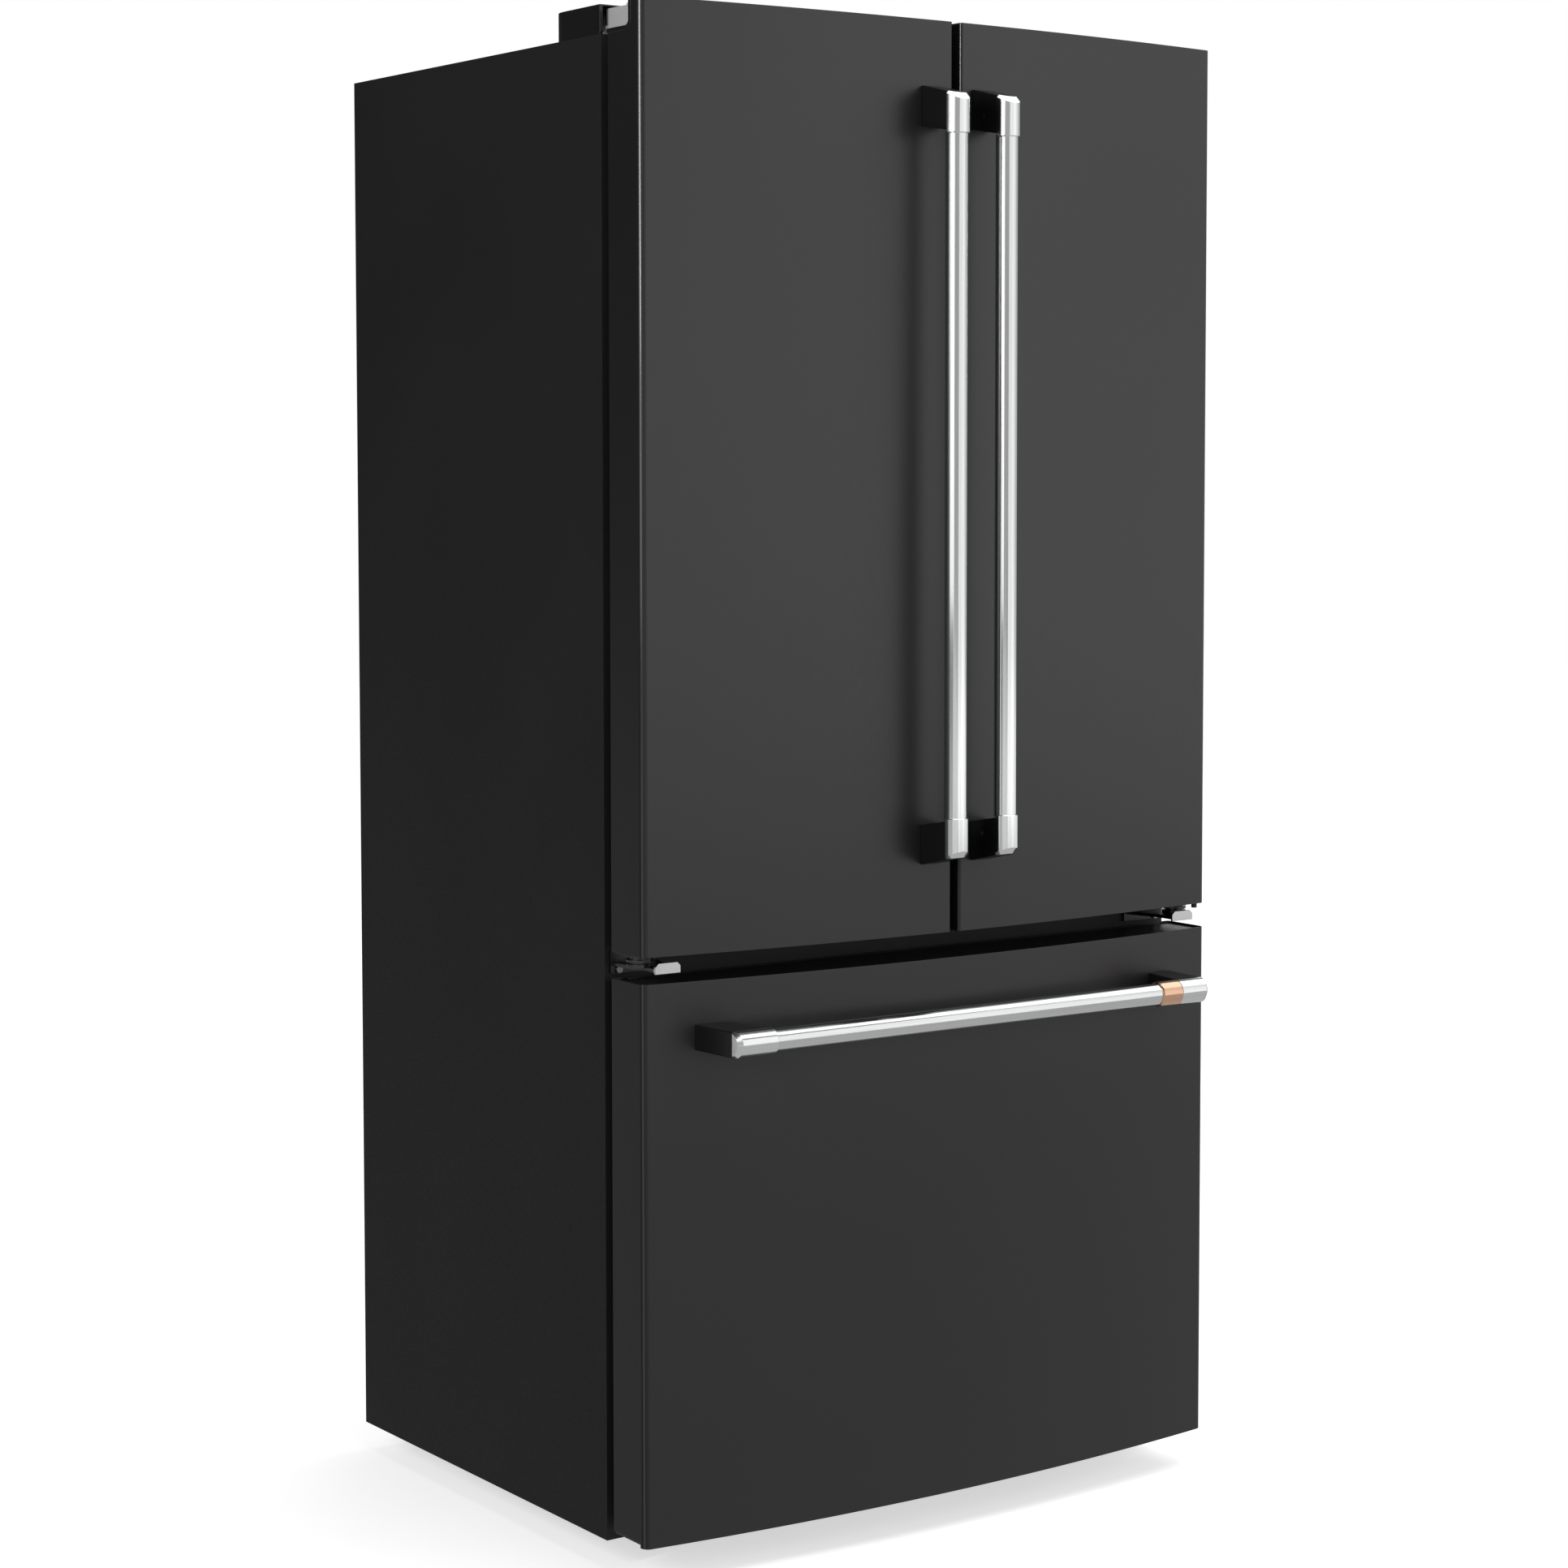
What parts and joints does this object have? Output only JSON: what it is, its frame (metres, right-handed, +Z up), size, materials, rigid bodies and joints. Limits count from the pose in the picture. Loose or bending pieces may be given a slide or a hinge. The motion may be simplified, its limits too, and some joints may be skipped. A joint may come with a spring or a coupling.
{
  "type": "french door refrigerator",
  "caption": "Counter-depth refrigerator with two bowed swinging doors over a freezer drawer, bar handles and a black case.",
  "frame": {"origin": "on the floor, at the centre of the whole footprint, handles and wall spacers included", "axes": "+X to the right of a person facing the doors, +Y towards the wall, so the doors face -Y, +Z up"},
  "size_m": [0.832, 0.7908, 1.775],
  "materials": {
    "outer_case": "satin",
    "foam_insulation": "matte",
    "fresh_food_liner": "satin",
    "freezer_liner": "satin",
    "back_panel": "satin",
    "compressor_cover": "matte",
    "base_frame": "matte",
    "compressor": "satin",
    "condenser_coil": "matte",
    "condenser_fan_shroud": "matte",
    "condenser_fan_blade": "matte",
    "evaporator_coil": "satin",
    "evaporator_cover": "matte",
    "evaporator_fan_blade": "matte",
    "air_tower": "satin",
    "control_panel": "satin",
    "shelf_frames": "satin",
    "shelf_panes": "gloss",
    "top_hinges": "satin",
    "hinge_covers": "gloss",
    "mid_hinges": "satin",
    "hinge_screws": "satin",
    "mullion_guide": "matte",
    "fixed_rails": "satin",
    "slide_members": "satin",
    "upper_basket": "satin",
    "rear_rollers": "matte",
    "left_leg": "satin",
    "right_leg": "satin",
    "left_crisper": "gloss",
    "right_crisper": "gloss",
    "left_humidity_slider": "satin",
    "right_humidity_slider": "satin",
    "mullion_flap": "satin",
    "left_door_skin": "matte",
    "left_door_inner_panel": "satin",
    "left_door_gasket": "matte",
    "left_door_end_caps": "matte",
    "left_door_bins": "gloss",
    "left_handle_bar": "satin",
    "left_handle_ends": "satin",
    "left_handle_posts": "satin",
    "right_door_skin": "matte",
    "right_door_inner_panel": "satin",
    "right_door_gasket": "matte",
    "right_door_end_caps": "matte",
    "right_door_bins": "gloss",
    "right_handle_bar": "satin",
    "right_handle_ends": "satin",
    "right_handle_posts": "satin",
    "drawer_skin": "matte",
    "drawer_inner_panel": "satin",
    "drawer_gasket": "matte",
    "drawer_end_caps": "matte",
    "drawer_handle_bar": "satin",
    "drawer_handle_ends": "satin",
    "drawer_handle_posts": "satin",
    "drawer_handle_band": "satin",
    "lower_basket": "satin",
    "drawer_rails": "satin"
  },
  "bodies": {
    "cabinet": {"outer_case": "outer_case", "foam_insulation": "foam_insulation", "fresh_food_liner": "fresh_food_liner", "freezer_liner": "freezer_liner", "back_panel": "back_panel", "compressor_cover": "compressor_cover", "base_frame": "base_frame", "compressor": "compressor", "condenser_coil": "condenser_coil", "condenser_fan_shroud": "condenser_fan_shroud", "evaporator_coil": "evaporator_coil", "evaporator_cover": "evaporator_cover", "air_tower": "air_tower", "control_panel": "control_panel", "shelf_frames": "shelf_frames", "shelf_panes": "shelf_panes", "top_hinges": "top_hinges", "hinge_covers": "hinge_covers", "mid_hinges": "mid_hinges", "hinge_screws": "hinge_screws", "mullion_guide": "mullion_guide", "fixed_rails": "fixed_rails"},
    "left_door": {"left_door_skin": "left_door_skin", "left_door_inner_panel": "left_door_inner_panel", "left_door_gasket": "left_door_gasket", "left_door_end_caps": "left_door_end_caps", "left_door_bins": "left_door_bins", "left_handle_bar": "left_handle_bar", "left_handle_ends": "left_handle_ends", "left_handle_posts": "left_handle_posts"},
    "right_door": {"right_door_skin": "right_door_skin", "right_door_inner_panel": "right_door_inner_panel", "right_door_gasket": "right_door_gasket", "right_door_end_caps": "right_door_end_caps", "right_door_bins": "right_door_bins", "right_handle_bar": "right_handle_bar", "right_handle_ends": "right_handle_ends", "right_handle_posts": "right_handle_posts"},
    "freezer_drawer": {"drawer_skin": "drawer_skin", "drawer_inner_panel": "drawer_inner_panel", "drawer_gasket": "drawer_gasket", "drawer_end_caps": "drawer_end_caps", "drawer_handle_bar": "drawer_handle_bar", "drawer_handle_ends": "drawer_handle_ends", "drawer_handle_posts": "drawer_handle_posts", "drawer_handle_band": "drawer_handle_band", "lower_basket": "lower_basket", "drawer_rails": "drawer_rails"},
    "slide_middle": {"slide_members": "slide_members"},
    "upper_basket_body": {"upper_basket": "upper_basket"},
    "flap": {"mullion_flap": "mullion_flap"},
    "left_crisper_body": {"left_crisper": "left_crisper"},
    "right_crisper_body": {"right_crisper": "right_crisper"},
    "left_humidity": {"left_humidity_slider": "left_humidity_slider"},
    "right_humidity": {"right_humidity_slider": "right_humidity_slider"},
    "condenser_fan": {"condenser_fan_blade": "condenser_fan_blade"},
    "evaporator_fan": {"evaporator_fan_blade": "evaporator_fan_blade"},
    "rollers": {"rear_rollers": "rear_rollers"},
    "left_foot": {"left_leg": "left_leg"},
    "right_foot": {"right_leg": "right_leg"}
  },
  "joints": [
    {"name": "left_door_swing", "type": "hinge", "parent": "cabinet", "child": "left_door", "pos_m": [-0.398, -0.26763, 1.23], "axis": [0, 0, -1], "range_deg": [0, 120]},
    {"name": "right_door_swing", "type": "hinge", "parent": "cabinet", "child": "right_door", "pos_m": [0.398, -0.26763, 1.23], "axis": [0, 0, 1], "range_deg": [0, 120]},
    {"name": "mullion_flap_fold", "type": "hinge", "parent": "left_door", "child": "flap", "pos_m": [-0.026, -0.21363, 1.23], "axis": [0, 0, -1], "range_deg": [0, 90]},
    {"name": "freezer_drawer_slide", "type": "slide", "parent": "cabinet", "child": "freezer_drawer", "axis": [0, -1, 0], "range_m": [0, 0.42]},
    {"name": "slide_middle_slide", "type": "slide", "parent": "cabinet", "child": "slide_middle", "axis": [0, -1, 0], "range_m": [0, 0.21]},
    {"name": "upper_basket_slide", "type": "slide", "parent": "freezer_drawer", "child": "upper_basket_body", "axis": [0, 1, 0], "range_m": [0, 0.18]},
    {"name": "left_crisper_slide", "type": "slide", "parent": "cabinet", "child": "left_crisper_body", "axis": [0, -1, 0], "range_m": [0, 0.18]},
    {"name": "right_crisper_slide", "type": "slide", "parent": "cabinet", "child": "right_crisper_body", "axis": [0, -1, 0], "range_m": [0, 0.18]},
    {"name": "left_humidity_slide", "type": "slide", "parent": "left_crisper_body", "child": "left_humidity", "axis": [-1, 0, 0], "range_m": [0, 0.056]},
    {"name": "right_humidity_slide", "type": "slide", "parent": "right_crisper_body", "child": "right_humidity", "axis": [1, 0, 0], "range_m": [0, 0.056]},
    {"name": "condenser_fan_spin", "type": "hinge", "parent": "cabinet", "child": "condenser_fan", "pos_m": [0, 0.26637, 0.148], "axis": [1, 0, 0], "continuous": true},
    {"name": "evaporator_fan_spin", "type": "hinge", "parent": "cabinet", "child": "evaporator_fan", "pos_m": [0, 0.24638, 0.59], "axis": [0, 1, 0], "continuous": true},
    {"name": "rear_roller_spin", "type": "hinge", "parent": "cabinet", "child": "rollers", "pos_m": [0, 0.33137, 0.015], "axis": [1, 0, 0], "continuous": true},
    {"name": "left_leg_turn", "type": "hinge", "parent": "cabinet", "child": "left_foot", "pos_m": [-0.32, -0.16362, 0.01], "axis": [0, 0, 1], "continuous": true},
    {"name": "right_leg_turn", "type": "hinge", "parent": "cabinet", "child": "right_foot", "pos_m": [0.32, -0.16362, 0.01], "axis": [0, 0, 1], "continuous": true}
  ],
  "couplings": [
    {"joint": "slide_middle_slide", "follows": "freezer_drawer_slide", "ratio": 0.5},
    {"joint": "left_crisper_slide", "follows": "left_door_swing", "m_per_rad": 0.0859},
    {"joint": "right_crisper_slide", "follows": "right_door_swing", "m_per_rad": 0.0859}
  ]
}
